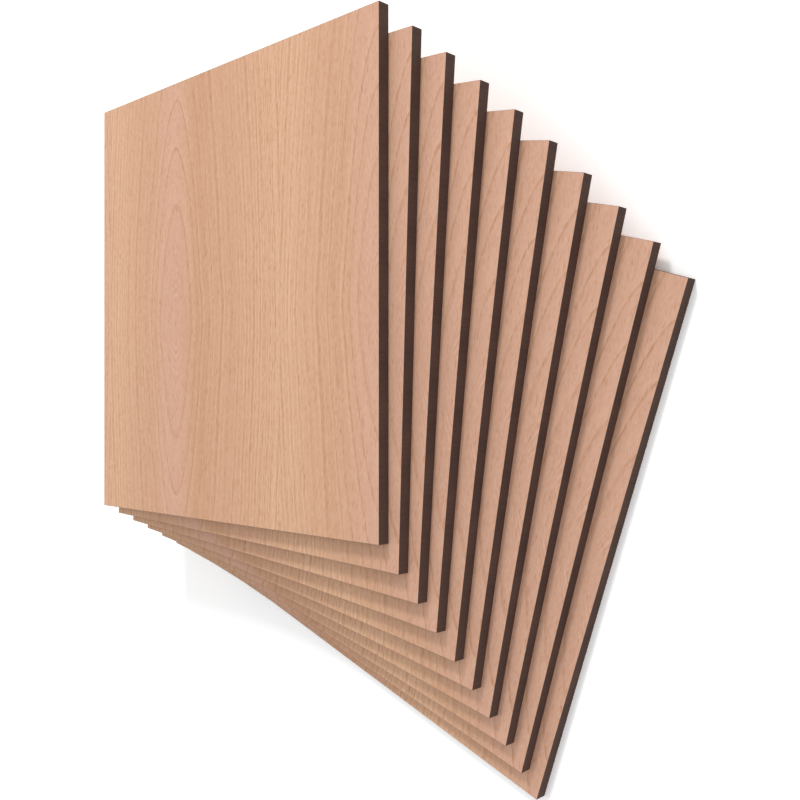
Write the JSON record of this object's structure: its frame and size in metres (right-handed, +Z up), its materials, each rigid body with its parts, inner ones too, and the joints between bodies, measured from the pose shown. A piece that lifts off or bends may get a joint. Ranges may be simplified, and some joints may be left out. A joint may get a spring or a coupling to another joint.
{
  "type": "stack of plywood sheets",
  "caption": "Stack of square hardwood-veneered plywood sheets lying flat, fanned so that each slips and turns from the one above, with dark laser-cut edges.",
  "frame": {"origin": "on the floor, under the middle of the fanned stack's box", "axes": "+Z up, across the sheets' thickness; +Y along the grain of the top sheet; +X across it, towards the side that the fan opens to"},
  "size_m": [0.3812, 0.3766, 0.0635],
  "materials": {
    "veneer": "flat-cut hardwood veneer, sanded and unfinished, with laser-browned edges"
  },
  "bodies": {
    "root": {"sheet_01": "veneer", "sheet_02": "veneer", "sheet_03": "veneer", "sheet_04": "veneer", "sheet_05": "veneer", "sheet_06": "veneer", "sheet_07": "veneer", "sheet_08": "veneer", "sheet_09": "veneer", "sheet_10": "veneer"}
  },
  "joints": []
}
